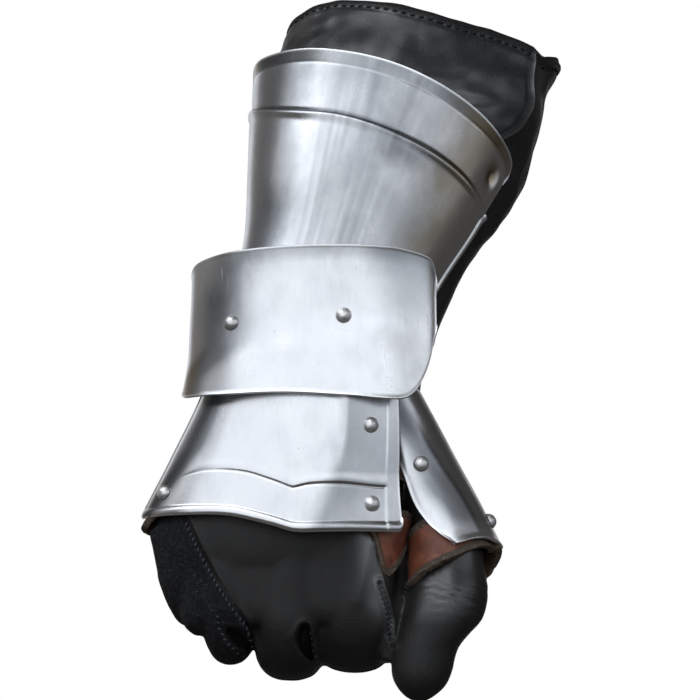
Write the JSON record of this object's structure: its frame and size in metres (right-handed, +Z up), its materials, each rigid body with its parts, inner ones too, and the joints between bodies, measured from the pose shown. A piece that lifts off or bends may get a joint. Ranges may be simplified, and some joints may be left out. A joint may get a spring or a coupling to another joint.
{
  "type": "armoured gauntlet",
  "caption": "Right-hand armoured gauntlet: riveted steel plates over the cuff, wrist, hand and thumb, on brown leather straps over a long black leather glove.",
  "frame": {"origin": "middle of the wrist, inside the glove", "axes": "+Z up along the hand towards the forearm, fingers hanging down; -Y out of the back of the hand; +X towards the thumb. The forearm leans to +X and +Y."},
  "size_m": [0.1762, 0.1029, 0.2914],
  "materials": {
    "polished_steel": "satin polish with fine lengthwise brushing, small pits and scratches",
    "rivet_steel": "hammered domes, a little darker than the plates",
    "brown_leather": "thick vegetable-tanned leather with pale raw edges",
    "black_leather": "soft smooth black leather with a low sheen and fine creases",
    "black_suede": "matt black suede"
  },
  "bodies": {
    "root": {"cuff_plate": "polished_steel", "wrist_plate": "polished_steel", "hand_plate": "polished_steel", "thumb_plate": "polished_steel", "wrist_rivet_outer": "rivet_steel", "wrist_rivet_inner": "rivet_steel", "hand_rivet_top": "rivet_steel", "hand_rivet_bottom": "rivet_steel", "hand_rivet_corner": "rivet_steel", "thumb_rivet_front": "rivet_steel", "thumb_rivet_side": "rivet_steel", "wrist_leather": "brown_leather", "thumb_link": "brown_leather", "palm_strap": "brown_leather", "thumb_strap": "brown_leather", "glove_cuff": "black_leather", "glove_wrist": "black_leather", "glove_hand": "black_leather", "glove_thumb": "black_leather", "glove_index": "black_leather", "glove_middle": "black_leather", "glove_ring": "black_leather", "glove_little": "black_suede"}
  },
  "joints": []
}
